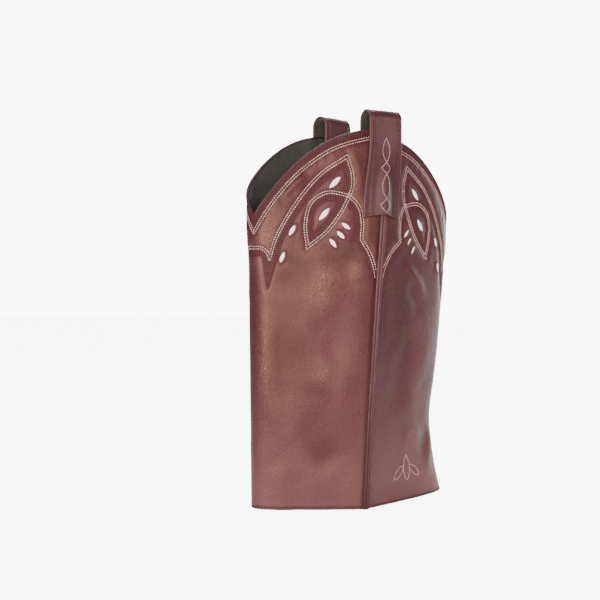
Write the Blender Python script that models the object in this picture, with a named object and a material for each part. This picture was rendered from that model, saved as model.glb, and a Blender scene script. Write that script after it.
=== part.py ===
"""Western leg gaiter: a scalloped cowboy boot shaft of burgundy leather, standing on its hem.

Two leather panels meet at a side seam on the outer (-Y) and the inner (+Y) side of the leg and fold
softly down their middles, at the back (-X) and at the front (+X).  Heights run up +Z from the hem.
Every other piece is laid on, under or between the panels: its points are panel points moved out or in.
"""
import math
from functools import lru_cache

import bmesh
import bpy
import numpy as np

MM = 0.001                      # all sizes below are in millimetres

# Walls and gaps
LEATHER = 1.5                   # shaft leather
LINING = 1.0                    # lining leather
GAP = 0.3                       # clearance between neighbouring pieces
SEAM_INSET = 1.0                # from the side seam's line to a panel's edge
LINING_OUT = -(LEATHER + GAP)   # lining's two faces, out from the panel's outer face
LINING_IN = LINING_OUT - LINING
LINING_FOOT = 0.8               # the lining is trimmed this far above the hem

# Scalloped rim: it falls from the side seams, faster and faster, to a V in the middle of each panel
RIM_PEAK = {"outer": 306.8, "inner": 311.3}
RIM_VALLEY = 238.2
RIM_POWER = 2.2                 # the fall grows as this power of the distance from the seam
PANEL_DROP = {"back": 0.0, "front": 5.8}    # the front panel is cut this much lower
RIM_HALF_WIDTH = 106.5          # seam to V, measured round the panel at the rim
BEAD_HEIGHT = 1.2
BEAD_CROWN = 0.3

# Horizontal sections of the shaft's outer face, from the hem up.  back and front are the folds' x;
# a seam's place is its x and y; full is how far a fold is rounded to each side.
SECTION_COLUMNS = ("height", "back", "front", "outer_x", "outer_y", "inner_x", "inner_y",
                   "back_full", "front_full")
SECTIONS = np.array([
    (0.0, -91.4, 89.1, -10.9, -39.4, -10.9, 49.6, 13.0, 13.0),
    (25.0, -91.4, 82.1, -9.9, -40.4, -9.9, 49.1, 13.0, 14.0),
    (55.0, -91.7, 77.3, -8.9, -41.4, -8.9, 48.1, 14.0, 15.0),
    (125.0, -92.6, 85.2, -5.2, -43.9, -7.9, 44.1, 15.0, 15.0),
    (187.0, -93.4, 91.2, -1.6, -45.4, -6.9, 39.1, 16.0, 15.0),
    (232.0, -94.9, 95.0, 1.8, -45.9, -6.4, 36.1, 16.0, 15.0),
    (311.0, -96.5, 97.8, 3.0, -44.9, -6.4, 33.1, 16.0, 15.0),
])
FOLD_Y = 5.1                    # the folds lie in this plane
PANEL_REACH = 0.62              # how far a panel runs nearly flat from its seam towards its fold
HALF_GIRTH_POINTS = 49          # points read along each half of a panel's section

# Grids: places across half a panel, as parts of the way from a seam to the middle, and rows up it
ACROSS = (0.07, 0.16, 0.27, 0.39, 0.51, 0.62, 0.72, 0.8, 0.86, 0.91, 0.945, 0.975, 1.0)
ROWS_UP = 10

# Side seam welt: two beads over a flange.  Profile points are (round the panel, out of it).
WELT_FLANGE = 0.62
WELT_FLANGE_IN = -LEATHER
WELT_TOP = ((2.8, 0.5), (2.35, 1.5), (1.4, 2.0), (0.5, 1.6))
WELT_MIDDLE = 1.1
WELT_UNDER = ((2.6, GAP), (1.3, GAP), (WELT_FLANGE, GAP), (WELT_FLANGE, WELT_FLANGE_IN))
WELT_ROWS = ((0.4, 1.0), (14.0, 1.0), (28.0, 1.0), (42.0, 1.0), (58.0, 1.0), (80.0, 1.0), (105.0, 1.0),
             (130.0, 1.0), (160.0, 1.0), (190.0, 1.0), (215.0, 1.0), (233.0, 1.0), (242.0, 0.6),
             (250.0, 0.3), (275.0, 0.3), (298.5, 0.3))      # height, share of the full bead

# Pull straps
STRAP_WIDTH = 29.6
STRAP_FLARE = 4.2               # wider by this at the sewn feet
STRAP_THICK = 2.0
STRAP_APEX = {"outer": 322.0, "inner": 328.0}
STRAP_FOOT = {"outer": 234.5, "inner": 239.5}       # outside foot
STRAP_TAIL = {"outer": 256.0, "inner": 261.0}       # inside foot
STRAP_ARCH = 2.5                # the outside foot's edge rises this much at its middle
STRAP_HUMP = 2.3                # the outside foot rides this far over the welt
STRAP_HUMP_REACH = 7.0
STRAP_LOOP = 9.0                # outer radius of the loop at the top
STRAP_STAND_OFF = {"outer": 4.0, "inner": 3.0}      # from the seam's line to the free outside leg
STRAP_SHIFT = {"outer": -1.0, "inner": -1.0}        # the free loop sits this far behind (-X) the seam
STRAP_TWIST = {"outer": 0.0, "inner": 15.0}         # degrees that the free loop is turned about +Z
STRAP_LET_GO = {"outside": (10.0, 62.0), "inside": (2.0, 40.0)}     # above a foot: leaves, is free
STRAP_LEG_ROWS = {"outside": (0.0, 0.08, 0.18, 0.3, 0.43, 0.56, 0.7, 0.85, 1.0),
                  "inside": (0.0, 0.15, 0.3, 0.45, 0.6, 0.8, 1.0)}
STRAP_ACROSS = (-1.0, -0.72, -0.4, -0.2, 0.0, 0.2, 0.4, 0.72, 1.0)
STRAP_ARC_STEPS = 10

# Almond inlays of one quarter, on the outer back: place round the panel from the side seam, height,
# length, width, and the lean of the long axis (positive rises towards the seam)
INLAY_COLUMNS = ("round", "height", "length", "width", "lean")
INLAYS = (
    (40.2, 263.2, 14.2, 4.5, 45.0),
    (48.3, 237.6, 14.2, 4.5, 49.0),
    (73.9, 224.3, 10.4, 3.5, 61.0),
    (81.4, 203.0, 10.8, 3.6, 70.0),
    (30.4, 228.2, 10.3, 3.4, -34.0),
    (34.7, 220.8, 10.0, 3.2, -41.5),
    (40.6, 214.3, 10.0, 3.2, -51.5),
)
INLAY_THICK = 0.6
INLAY_STATIONS = (-1.0, -0.75, -0.4, 0.0, 0.4, 0.75, 1.0)
INLAY_TIP = 0.4                 # blunt tip's width

# Finishes: colour and roughness
SHAFT_BURGUNDY = ((0.165, 0.052, 0.050), 0.42)
WELT_BURGUNDY = ((0.110, 0.034, 0.036), 0.45)
STRAP_BURGUNDY = ((0.120, 0.038, 0.044), 0.45)
BEAD_ROSE = ((0.260, 0.085, 0.085), 0.5)
LINING_GREY = ((0.048, 0.045, 0.040), 0.9)
INLAY_WHITE = ((0.860, 0.830, 0.770), 0.6)


# ---------------------------------------------------------------- form of the shaft

SLOPES = np.gradient(SECTIONS, SECTIONS[:, 0], axis=0)


def section(height):
    """The section table at a height, read from a cubic through its rows."""
    heights = SECTIONS[:, 0]
    height = min(max(height, heights[0]), heights[-1])
    row = min(max(int(np.searchsorted(heights, height)) - 1, 0), len(heights) - 2)
    step = heights[row + 1] - heights[row]
    t = (height - heights[row]) / step
    values = ((1 + 2 * t) * (1 - t) ** 2 * SECTIONS[row] + t * (1 - t) ** 2 * step * SLOPES[row]
              + t * t * (3 - 2 * t) * SECTIONS[row + 1] + t * t * (t - 1) * step * SLOPES[row + 1])
    return dict(zip(SECTION_COLUMNS, values))


@lru_cache(maxsize=None)
def girth(panel, height):
    """A panel's section, from the outer seam over the fold: points, lengths so far, outward normals."""
    row = section(height)
    fold = np.array([row[panel], FOLD_Y])
    t = np.linspace(0.0, 1.0, HALF_GIRTH_POINTS)[:, None]
    halves = {}
    for side, towards in (("outer", -1.0), ("inner", 1.0)):
        seam = np.array([row[side + "_x"], row[side + "_y"]])
        lead = fold + (0.0, towards * row[panel + "_full"])
        leave = seam + PANEL_REACH * (lead - seam)
        halves[side] = ((1 - t) ** 3 * seam + 3 * (1 - t) ** 2 * t * leave
                        + 3 * (1 - t) * t * t * lead + t ** 3 * fold)
    points = np.concatenate((halves["outer"], halves["inner"][-2::-1]))
    lengths = np.concatenate(([0.0], np.cumsum(np.linalg.norm(np.diff(points, axis=0), axis=1))))
    along = np.gradient(points, axis=0)
    along /= np.linalg.norm(along, axis=1)[:, None]
    turn = 1.0 if panel == "back" else -1.0
    return points, lengths, turn * np.column_stack((-along[:, 1], along[:, 0]))


def seam_mitre(side, height):
    """The step from a side seam's line that moves both panels' faces out by one."""
    end = 0 if side == "outer" else -1
    back = girth("back", height)[2][end]
    front = girth("front", height)[2][end]
    middle = (back + front) / np.linalg.norm(back + front)
    return middle / middle.dot(back)


def on_panel(panel, side, distance, height, out):
    """A point at a distance round the panel from its side seam, moved out of its face."""
    height = round(height, 4)
    points, lengths, normals = girth(panel, height)
    run = distance if side == "outer" else lengths[-1] - distance
    place = [np.interp(run, lengths, points[:, i]) for i in (0, 1)]
    if distance <= SEAM_INSET:
        normal = seam_mitre(side, height)
    else:
        normal = np.array([np.interp(run, lengths, normals[:, i]) for i in (0, 1)])
        normal /= np.linalg.norm(normal)
    return np.array([*(place + out * normal), height])


def half_width(panel, height):
    """From a side seam to the middle of the panel, measured round it."""
    return 0.5 * girth(panel, round(height, 4))[1][-1]


def rim(panel, side, share, below=0.0):
    """Rim height at a share of the way from seam to V, or of a line that far below it."""
    fall = RIM_PEAK[side] - RIM_VALLEY
    slope = RIM_POWER * fall * share ** (RIM_POWER - 1.0) / RIM_HALF_WIDTH
    return RIM_PEAK[side] - PANEL_DROP[panel] - fall * share ** RIM_POWER - below * math.hypot(1.0, slope)


def pattern_height(panel, side, share, height):
    """A height of the outer back quarter's decoration, carried to another quarter."""
    rise = (RIM_PEAK[side] - RIM_PEAK["outer"]) * (1.0 - share ** RIM_POWER)
    return height - PANEL_DROP[panel] + rise


def panel_columns():
    """(side, share, is the edge) right across a panel, from the outer seam over the middle."""
    outer = [("outer", 0.0, True)] + [("outer", share, False) for share in ACROSS]
    inner = [("inner", share, False) for share in reversed(ACROSS[:-1])] + [("inner", 0.0, True)]
    return outer + inner


def column_point(panel, column, height, out, inset=SEAM_INSET):
    side, share, is_edge = column
    distance = inset if is_edge else share * half_width(panel, height)
    return on_panel(panel, side, distance, height, out)


def ease(value, start, end):
    t = min(max((value - start) / (end - start), 0.0), 1.0)
    return t * t * (3.0 - 2.0 * t)


# ---------------------------------------------------------------- building

def new_material(name, finish):
    colour, roughness = finish
    material = bpy.data.materials.new(name)
    material.use_nodes = True
    shader = material.node_tree.nodes["Principled BSDF"]
    shader.inputs["Base Color"].default_value = (*colour, 1.0)
    shader.inputs["Roughness"].default_value = roughness
    shader.inputs["Metallic"].default_value = 0.0
    return material


def add_piece(name, points, faces, finish):
    """One closed body in an object of its own, faces out, shaded smooth up to 40 degrees."""
    mesh = bpy.data.meshes.new(name)
    mesh.from_pydata([tuple(MM * value for value in point) for point in points], [], faces)
    body = bmesh.new()
    body.from_mesh(mesh)
    bmesh.ops.recalc_face_normals(body, faces=body.faces)
    body.to_mesh(mesh)
    body.free()
    mesh.shade_smooth()
    mesh.set_sharp_from_angle(angle=math.radians(40.0))
    mesh.materials.append(new_material(name, finish))
    bpy.context.scene.collection.objects.link(bpy.data.objects.new(name, mesh))


def slab(name, top, bottom, finish):
    """A closed wall between two equal grids of points, given as lists of rows.

    Every four-cornered patch is split along the same diagonal, so that nested walls stay parallel.
    """
    rows, columns = len(top), len(top[0])
    points = [point for row in top for point in row] + [point for row in bottom for point in row]
    under = rows * columns

    def at(row, column, layer):
        return layer * under + row * columns + column

    faces = []
    for r in range(rows - 1):
        for c in range(columns - 1):
            for layer in (0, 1):
                corner, far = at(r, c, layer), at(r + 1, c + 1, layer)
                faces.append([corner, at(r, c + 1, layer), far])
                faces.append([corner, far, at(r + 1, c, layer)])
    for r in range(rows - 1):
        for c in (0, columns - 1):
            faces.append([at(r, c, 0), at(r + 1, c, 0), at(r, c, 1)])
            faces.append([at(r + 1, c, 0), at(r + 1, c, 1), at(r, c, 1)])
    for c in range(columns - 1):
        for r in (0, rows - 1):
            faces.append([at(r, c, 0), at(r, c + 1, 0), at(r, c, 1)])
            faces.append([at(r, c + 1, 0), at(r, c + 1, 1), at(r, c, 1)])
    add_piece(name, points, faces, finish)


def sweep(name, rings, finish):
    """A closed bar through equal rings of points, capped at both ends."""
    size = len(rings[0])
    points = [point for ring in rings for point in ring]
    faces = [[r * size + i, r * size + (i + 1) % size, (r + 1) * size + (i + 1) % size, (r + 1) * size + i]
             for r in range(len(rings) - 1) for i in range(size)]
    faces.append(list(range(size)))
    faces.append([(len(rings) - 1) * size + i for i in range(size)])
    add_piece(name, points, faces, finish)


# ---------------------------------------------------------------- pieces

def shaft_wall(name, panel, outside, inside, foot, inset, finish):
    """A panel or a lining: a wall between two offsets of the shaft's face, from foot to rim bead."""
    layers = []
    for out in (outside, inside):
        grid = []
        for row in range(ROWS_UP + 1):
            line = []
            for column in panel_columns():
                head = rim(panel, column[0], column[1], BEAD_HEIGHT + GAP)
                height = foot + (head - foot) * row / ROWS_UP
                line.append(column_point(panel, column, height, out, inset))
            grid.append(line)
        layers.append(grid)
    slab(name, layers[0], layers[1], finish)


def rim_bead(name, panel):
    """The narrow bead that closes a panel and its lining along the rim."""
    layers = []
    for below in (0.0, BEAD_HEIGHT):
        grid = []
        for column in panel_columns():
            crown = BEAD_CROWN if below == 0.0 else 0.0
            height = rim(panel, column[0], column[1], below)
            middle = rim(panel, column[0], column[1], below - crown)
            grid.append([column_point(panel, column, height, LINING_IN),
                         column_point(panel, column, middle, 0.5 * LINING_IN),
                         column_point(panel, column, height, 0.0)])
        layers.append(grid)
    slab(name, layers[0], layers[1], BEAD_ROSE)


def side_welt(name, side):
    """Double bead along a side seam; above the strap's foot it is pared down to its flange."""
    rings = []
    for height, share in WELT_ROWS:
        def corner(panel, distance, out):
            pared = WELT_FLANGE + (distance - WELT_FLANGE) * share if distance > WELT_FLANGE else distance
            raised = GAP + (out - GAP) * share if out > GAP else out
            return on_panel(panel, side, pared, height, raised)

        top = [corner("back", *point) for point in WELT_TOP]
        middle = [corner("back", 0.0, WELT_MIDDLE)]
        top_front = [corner("front", *point) for point in reversed(WELT_TOP)]
        under_front = [corner("front", *point) for point in WELT_UNDER]
        under_back = [corner("back", *point) for point in reversed(WELT_UNDER)]
        rings.append(top + middle + top_front + under_front + under_back)
    sweep(name, rings, WELT_BURGUNDY)


def pull_strap(name, side):
    """A leather strap sewn outside and inside over a side seam, with a loop above the rim."""
    spring = STRAP_APEX[side] - STRAP_LOOP
    outer_leg = STRAP_STAND_OFF[side] + STRAP_THICK
    centre_out = outer_leg - STRAP_LOOP
    inner_leg = centre_out - STRAP_LOOP
    twist = math.radians(STRAP_TWIST[side])
    sideways = np.array([math.cos(twist), math.sin(twist)])
    upright = np.array([-sideways[1], sideways[0]]) * (-1.0 if side == "outer" else 1.0)

    def free_point(across, height, out):
        row = section(height)
        middle = np.array([row[side + "_x"] + STRAP_SHIFT[side], row[side + "_y"]])
        half = 0.5 * STRAP_WIDTH * across
        return np.array([*(middle + out * upright + half * sideways), height])

    def sewn_point(across, height, out):
        panel = "back" if across < 0.0 else "front"
        half = 0.5 * (STRAP_WIDTH + STRAP_FLARE)
        return on_panel(panel, side, abs(across) * half, height, out)

    def leg_row(where, up, layer):
        """A row of one leg; layer 0 is the loop's outer face, 1 its inner face."""
        line = []
        for across in STRAP_ACROSS:
            if where == "outside":
                foot = STRAP_FOOT[side] + STRAP_ARCH * (1.0 - across ** 2)
                hump_at = min(abs(across) * 0.5 * STRAP_WIDTH / STRAP_HUMP_REACH, 1.0)
                hump = STRAP_HUMP * 0.5 * (1.0 + math.cos(math.pi * hump_at))
                sewn_out = GAP + hump + (STRAP_THICK if layer == 0 else 0.0)
                free_out = outer_leg - (0.0 if layer == 0 else STRAP_THICK)
            else:
                foot = STRAP_TAIL[side]
                sewn_out = LINING_IN - GAP - (STRAP_THICK if layer == 0 else 0.0)
                free_out = inner_leg + (0.0 if layer == 0 else STRAP_THICK)
            height = foot + (spring - foot) * up
            start, free = STRAP_LET_GO[where]
            let_go = ease(height - foot, start, free)
            sewn = sewn_point(across, height, sewn_out)
            line.append(sewn + let_go * (free_point(across, height, free_out) - sewn))
        return line

    layers = []
    for layer in (0, 1):
        radius = STRAP_LOOP - STRAP_THICK * layer
        rows = [leg_row("outside", up, layer) for up in STRAP_LEG_ROWS["outside"]]
        for step in range(1, STRAP_ARC_STEPS):
            angle = math.pi * step / STRAP_ARC_STEPS
            row = []
            for across in STRAP_ACROSS:
                point = free_point(across, spring, centre_out + radius * math.cos(angle))
                point[2] = spring + radius * math.sin(angle)
                row.append(point)
            rows.append(row)
        rows += [leg_row("inside", up, layer) for up in reversed(STRAP_LEG_ROWS["inside"])]
        layers.append(rows)
    slab(name, layers[0], layers[1], STRAP_BURGUNDY)


def almond(name, panel, side, inlay):
    """A thin almond plate just off the panel, bent to its face."""
    size = dict(zip(INLAY_COLUMNS, inlay))
    lean = math.radians(size["lean"])
    along = np.array([-math.cos(lean), math.sin(lean)])
    across = np.array([along[1], -along[0]])
    layers = []
    for out in (GAP + INLAY_THICK, GAP):
        grid = []
        for station in INLAY_STATIONS:
            half = 0.5 * (INLAY_TIP + (size["width"] - INLAY_TIP) * (1.0 - station ** 2))
            line = []
            for edge in (-1.0, 0.0, 1.0):
                step = 0.5 * size["length"] * station * along + half * edge * across
                share = (size["round"] + step[0]) / RIM_HALF_WIDTH
                height = pattern_height(panel, side, share, size["height"] + step[1])
                line.append(on_panel(panel, side, share * half_width(panel, height), height, out))
            grid.append(line)
        layers.append(grid)
    slab(name, layers[0], layers[1], INLAY_WHITE)


def build():
    for old in list(bpy.data.objects):
        bpy.data.objects.remove(old, do_unlink=True)
    for panel in ("back", "front"):
        shaft_wall(panel + "_panel", panel, 0.0, -LEATHER, 0.0, SEAM_INSET, SHAFT_BURGUNDY)
        shaft_wall(panel + "_lining", panel, LINING_OUT, LINING_IN, LINING_FOOT, 0.5 * GAP, LINING_GREY)
        rim_bead(panel + "_rim_bead", panel)
    for side in ("outer", "inner"):
        side_welt(side + "_welt", side)
        pull_strap(side + "_pull_strap", side)
    for panel in ("back", "front"):
        for side in ("outer", "inner"):
            for number, inlay in enumerate(INLAYS, start=1):
                almond(f"{panel}_{side}_inlay_{number}", panel, side, inlay)


build()
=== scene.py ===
"""A western leg gaiter: the scalloped, stitched shaft of a cowboy boot, standing open on its hem."""
import math

import bmesh
import bpy
import numpy as np
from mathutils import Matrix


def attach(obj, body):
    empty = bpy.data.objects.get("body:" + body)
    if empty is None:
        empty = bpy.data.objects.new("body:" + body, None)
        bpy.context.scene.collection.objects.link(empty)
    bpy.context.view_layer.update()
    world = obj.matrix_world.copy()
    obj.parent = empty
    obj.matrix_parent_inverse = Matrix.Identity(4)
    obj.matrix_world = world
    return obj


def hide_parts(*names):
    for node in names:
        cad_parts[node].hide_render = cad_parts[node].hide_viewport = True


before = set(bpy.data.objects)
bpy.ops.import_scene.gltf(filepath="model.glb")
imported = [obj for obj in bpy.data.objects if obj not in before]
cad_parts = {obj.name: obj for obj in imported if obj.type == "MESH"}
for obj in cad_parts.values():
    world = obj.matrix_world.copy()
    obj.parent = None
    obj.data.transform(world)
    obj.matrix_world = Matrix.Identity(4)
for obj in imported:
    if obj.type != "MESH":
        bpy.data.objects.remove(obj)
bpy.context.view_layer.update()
scene = bpy.context.scene

# ---------------------------------------------------------------- camera, floor and light
# A long lens at mid height looks level at the gaiter, across the outer side seam.  The floor is a
# plain pale card.  A bright sweep of the room, three softboxes and two small cards light it.


def add_object(name, data):
    """A new object of that data, in the scene."""
    thing = bpy.data.objects.new(name, data)
    scene.collection.objects.link(thing)
    return thing


def fill(tree, node, inputs):
    """Sets or links a node's inputs: {socket: value or output}."""
    for socket, value in dict(inputs).items():
        if isinstance(value, bpy.types.NodeSocket):
            tree.links.new(value, node.inputs[socket])
        else:
            node.inputs[socket].default_value = value
    return node


def add_node(tree, kind, inputs=(), **settings):
    """A new node with its settings made and its inputs filled."""
    node = tree.nodes.new(kind)
    for key, value in settings.items():
        setattr(node, key, value)
    return fill(tree, node, inputs)


def maths(tree, operation, *values):
    return add_node(tree, "ShaderNodeMath", enumerate(values), operation=operation).outputs[0]


def vector_maths(tree, operation, *values):
    return add_node(tree, "ShaderNodeVectorMath", enumerate(values), operation=operation).outputs[0]


def remap(tree, value, start, end, low=0.0, high=1.0, **settings):
    """The value with start to end stretched over low to high, and held at those."""
    limits = {"Value": value, "From Min": start, "From Max": end, "To Min": low, "To Max": high}
    return add_node(tree, "ShaderNodeMapRange", limits, **settings).outputs["Result"]


camera = add_object("camera", bpy.data.cameras.new("camera"))
camera.data.lens = 54.0
camera.location = (-0.3648, -0.6738, 0.1688)
camera.rotation_euler = (math.radians(90.0), 0.0, math.radians(-25.0))
scene.camera = camera

FLOOR_REACH, FLOOR_LEVEL = 9.0, -0.0004
FLOOR_CORNERS = ((-1, -1), (1, -1), (1, 1), (-1, 1))
CARD_SEEN, CARD_GLOW = 7.2, 0.3         # the card looks as pale as the room, but casts less light
floor_mesh = bpy.data.meshes.new("floor")
floor_mesh.from_pydata([(FLOOR_REACH * x, FLOOR_REACH * y, FLOOR_LEVEL) for x, y in FLOOR_CORNERS],
                       [], [(0, 1, 2, 3)])
floor = add_object("floor", floor_mesh)
card = bpy.data.materials.new("pale_card")
card.use_nodes = True
card_sight = add_node(card.node_tree, "ShaderNodeLightPath").outputs["Is Camera Ray"]
fill(card.node_tree, card.node_tree.nodes["Principled BSDF"], {
    "Base Color": (0.80, 0.80, 0.80, 1.0), "Roughness": 0.9, "Emission Color": (1.0, 1.0, 1.0, 1.0),
    "Emission Strength": maths(card.node_tree, "MULTIPLY_ADD", card_sight, CARD_SEEN, CARD_GLOW)})
floor_mesh.materials.append(card)

# The room is pale all round to look at, but its light comes mostly from a bright sweep behind
SKY_SEEN, SKY_SWEEP, SKY_ELSEWHERE = 9.0, 6.0, 0.10
SWEEP_AZIMUTH = math.radians(52.0)
sky = bpy.data.worlds.new("studio")
sky.use_nodes = True
room = sky.node_tree
facing = add_node(room, "ShaderNodeVectorMath", {
    0: add_node(room, "ShaderNodeTexCoord").outputs["Generated"],
    1: (math.cos(SWEEP_AZIMUTH), math.sin(SWEEP_AZIMUTH), 0.0)}, operation="DOT_PRODUCT")
spread = remap(room, facing.outputs["Value"], 0.58, 0.99, SKY_ELSEWHERE, SKY_SWEEP,
               interpolation_type="SMOOTHSTEP")
room_sight = add_node(room, "ShaderNodeLightPath").outputs["Is Camera Ray"]
chosen = add_node(room, "ShaderNodeMix", {"Factor": room_sight, "A": spread, "B": SKY_SEEN})
fill(room, room.nodes["Background"], {"Strength": chosen.outputs["Result"], "Color": (1.0, 1.0, 1.0, 1.0)})
scene.world = sky


def softbox(name, place, aim, size, power, colour):
    """A rectangular lamp that stands at a place and is turned to another."""
    light = bpy.data.lights.new(name, "AREA")
    light.shape = "RECTANGLE"
    light.size, light.size_y = size
    light.energy = power
    light.color = colour
    box = add_object(name, light)
    box.location = place
    towards = np.array(aim) - np.array(place)
    box.rotation_euler = (math.acos(towards[2] / np.linalg.norm(towards)) + math.pi, 0.0,
                          math.atan2(towards[1], towards[0]) + math.pi / 2)
    box.visible_camera = False


softbox("warm_softbox", (-1.6, -1.0, 0.40), (-0.02, -0.02, 0.17), (0.50, 1.4), 50.0, (1.0, 0.90, 0.82))
softbox("front_softbox", (-1.07, -2.02, 0.42), (-0.02, -0.02, 0.17), (0.9, 1.2), 44.0, (1.0, 0.91, 0.84))
softbox("fill_softbox", (1.1, -1.6, 0.9), (0.0, 0.0, 0.17), (1.0, 1.2), 33.0, (1.0, 0.86, 0.88))
softbox("side_card", (0.50, 0.22, 0.17), (0.05, 0.0, 0.15), (0.36, 0.36), 0.4, (0.96, 0.97, 1.0))
softbox("top_card", (0.0, 0.25, 0.95), (0.0, -0.02, 0.32), (0.5, 0.6), 8.0, (0.96, 0.97, 1.0))

# ---------------------------------------------------------------- the shaft's two leather panels
# A back and a front panel of 1.5 mm chrome-tanned leather, cut with a scalloped top.  They are
# stitched flat, then sewn together down both sides, which leaves a soft fold down each middle.
MM = 0.001
LEATHER = 1.5
LINING_OUT, LINING_IN = -1.8, -2.8      # out of the leather's face, as all such distances are
SEAM_INSET = 1.0                # a panel stops this far short of the seam's middle
RIM_PEAK = {"outer": 306.8, "inner": 311.3}     # the back panel's rim at the side seams
RIM_VALLEY = 238.2              # and at its V, between which it falls with a power of the distance
RIM_POWER = 2.2
PANEL_DROP = {"back": 0.0, "front": 5.8}        # the front panel's rim and pattern lie lower
RIM_HALF_WIDTH = 106.5          # side seam to V, round the panel: the unit of the flat pattern
BEAD_HEIGHT, BEAD_LAP = 1.2, 0.3        # the rim bead stands above the leather and laps over it

# The shaft's sections: height, the folds' x, the seams' x and y, how full each fold is rounded
SECTION_COLUMNS = ("height", "back", "front", "outer_x", "outer_y", "inner_x", "inner_y",
                   "back_full", "front_full")
SECTIONS = np.array([
    (0.0, -91.4, 89.1, -10.9, -39.4, -10.9, 49.6, 13.0, 13.0),
    (25.0, -91.4, 82.1, -9.9, -40.4, -9.9, 49.1, 13.0, 14.0),
    (55.0, -91.7, 77.3, -8.9, -41.4, -8.9, 48.1, 14.0, 15.0),
    (125.0, -92.6, 85.2, -5.2, -43.9, -7.9, 44.1, 15.0, 15.0),
    (187.0, -93.4, 91.2, -1.6, -45.4, -6.9, 39.1, 16.0, 15.0),
    (232.0, -94.9, 95.0, 1.8, -45.9, -6.4, 36.1, 16.0, 15.0),
    (311.0, -96.5, 97.8, 3.0, -44.9, -6.4, 33.1, 16.0, 15.0),
])
FOLD_Y = 5.1
PANEL_REACH = 0.62              # how far a panel runs straight from its seam towards the fold
TABLE_HEIGHTS = np.arange(0.0, 329.0, 1.0)
TABLE_ACROSS = 321
SEAM_BLEND = 7.0                # the outward direction turns into the seam's mitre over this width

# Soft folds of the worn leather: half width of the fold, depth (+ out), then its line as (distance
# round the panel from the outer seam, height)
FOLDS = {
    "back": (
        (9.0, 1.1, ((92.7, 176), (92.7, 147), (92, 128), (90.5, 108), (87, 86), (81, 66), (72, 48))),
        (10.0, -0.9, ((77, 172), (76, 130), (72, 96), (62, 74))),
        (13.0, 0.8, ((42, 206), (43, 176), (45, 146))),
        (7.0, 0.7, ((18, 204), (20, 180))),
        (11.0, -0.8, ((30, 176), (26, 140), (28, 100))),
        (11.0, 0.9, ((34, 126), (43, 106), (54, 92))),
        (13.0, -1.5, ((66, 70), (50, 64), (40, 50), (30, 26))),
        (9.0, 0.7, ((84, 40), (79, 18), (77, 0))),
        (8.0, -0.6, ((62, 34), (60, 0))),
        (2.7, 1.15, ((82, 250), (73, 260.5), (62, 271))),
        (12.0, 1.2, ((168, 214), (163, 170), (165, 120))),
        (10.0, -1.2, ((140, 180), (146, 130), (152, 80))),
        (12.0, -1.0, ((190, 120), (178, 80), (164, 52))),
        (9.0, 0.9, ((128, 90), (136, 50), (138, 8))),
    ),
    "front": (
        (5.0, 1.2, ((28, 203), (38, 195), (52, 184), (66, 168))),
        (7.0, -1.0, ((36, 184), (50, 172), (62, 154))),
        (12.0, 0.9, ((80, 148), (70, 122), (60, 92), (53, 60))),
        (11.0, -1.1, ((45, 150), (36, 110), (32, 70))),
        (6.0, 1.1, ((98, 62), (93, 46), (84, 30), (78, 12))),
        (7.0, -1.0, ((86, 62), (80, 46), (70, 34))),
        (4.0, 0.7, ((46, 56), (60, 58), (76, 54))),
        (11.0, 1.3, ((150, 200), (158, 160), (172, 130))),
        (11.0, -1.2, ((170, 190), (184, 150), (186, 100))),
        (9.0, 1.1, ((122, 120), (138, 90), (160, 74))),
        (8.0, -1.0, ((118, 70), (132, 44), (150, 34))),
    ),
}
FOLD_FADE = 0.3                 # share of a fold's length over which it fades at an end
DRAPE_FREE = (2.0, 16.0)        # the wall lies still at a seam and is free to drape from here on
# Unevenness of the whole wall: depth, size, seeds
UNEVEN = ((0.35, 31.0, {"back": 3, "front": 4}), (0.14, 12.0, {"back": 5, "front": 6}))


def sections_at(heights):
    """Rows of the section table at many heights, read from a cubic through it."""
    knots = SECTIONS[:, 0]
    heights = np.clip(heights, knots[0], knots[-1])
    row = np.clip(np.searchsorted(knots, heights) - 1, 0, len(knots) - 2)
    step = (knots[row + 1] - knots[row])[:, None]
    t = (heights - knots[row])[:, None] / step
    slopes = np.gradient(SECTIONS, knots, axis=0)
    return ((1 + 2 * t) * (1 - t) ** 2 * SECTIONS[row] + t * (1 - t) ** 2 * step * slopes[row]
            + t * t * (3 - 2 * t) * SECTIONS[row + 1] + t * t * (t - 1) * step * slopes[row + 1])


def run_along(line):
    """How far along a polyline each of its points is."""
    return np.concatenate(([0.0], np.cumsum(np.linalg.norm(np.diff(line, axis=0), axis=1))))


def evenly(line, count):
    """That many points in equal steps along a polyline."""
    run = run_along(line)
    even = np.linspace(0.0, run[-1], count)
    return np.column_stack([np.interp(even, run, line[:, i]) for i in (0, 1)])


def face_table(panel):
    """The panel's face and the way out of it, at every table height, from outer to inner seam."""
    rows = dict(zip(SECTION_COLUMNS, sections_at(TABLE_HEIGHTS).T))
    t = np.linspace(0.0, 1.0, 97)[:, None]
    points = np.empty((len(TABLE_HEIGHTS), TABLE_ACROSS, 2))
    for h in range(len(TABLE_HEIGHTS)):
        fold = np.array([rows[panel][h], FOLD_Y])
        halves = []
        for side, towards in (("outer", -1.0), ("inner", 1.0)):
            seam = np.array([rows[side + "_x"][h], rows[side + "_y"][h]])
            lead = fold + (0.0, towards * rows[panel + "_full"][h])
            leave = seam + PANEL_REACH * (lead - seam)
            halves.append((1 - t) ** 3 * seam + 3 * (1 - t) ** 2 * t * leave
                          + 3 * (1 - t) * t * t * lead + t ** 3 * fold)
        points[h] = evenly(np.concatenate((halves[0], halves[1][-2::-1])), TABLE_ACROSS)
    along = np.gradient(points, axis=1)
    along /= np.linalg.norm(along, axis=2)[..., None]
    turn = 1.0 if panel == "back" else -1.0
    return points, turn * np.stack((-along[..., 1], along[..., 0]), axis=2)


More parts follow.
